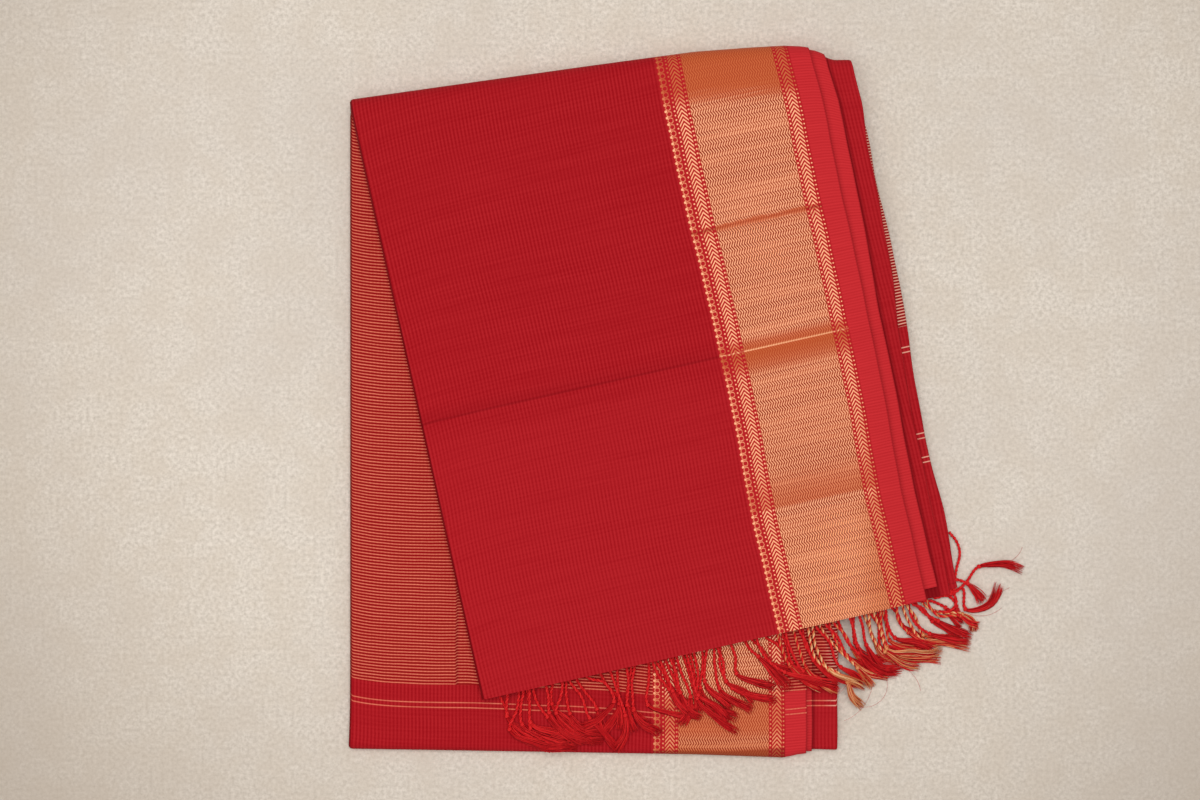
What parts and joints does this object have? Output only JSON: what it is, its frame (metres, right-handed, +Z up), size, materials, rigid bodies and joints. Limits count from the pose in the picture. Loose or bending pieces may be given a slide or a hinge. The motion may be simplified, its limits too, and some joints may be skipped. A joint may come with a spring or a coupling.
{
  "type": "folded silk sari",
  "caption": "Folded silk sari lying flat, its turned front askew on the back, with a wide woven metallic border, a plain selvedge and a knotted fringe under the hem.",
  "frame": {"origin": "middle of the footprint on the surface the folded cloth lies on", "axes": "+X across the folded width towards the selvedges, +Y away from the fringed hem towards the turned fold, +Z up"},
  "size_m": [0.413, 0.4448, 0.0205],
  "materials": {
    "sari_silk": "woven silk with a soft sheen",
    "fringe_silk": "twisted silk"
  },
  "bodies": {
    "root": {"sari_cloth": "sari_silk", "pallu_fringe": "fringe_silk"}
  },
  "joints": []
}
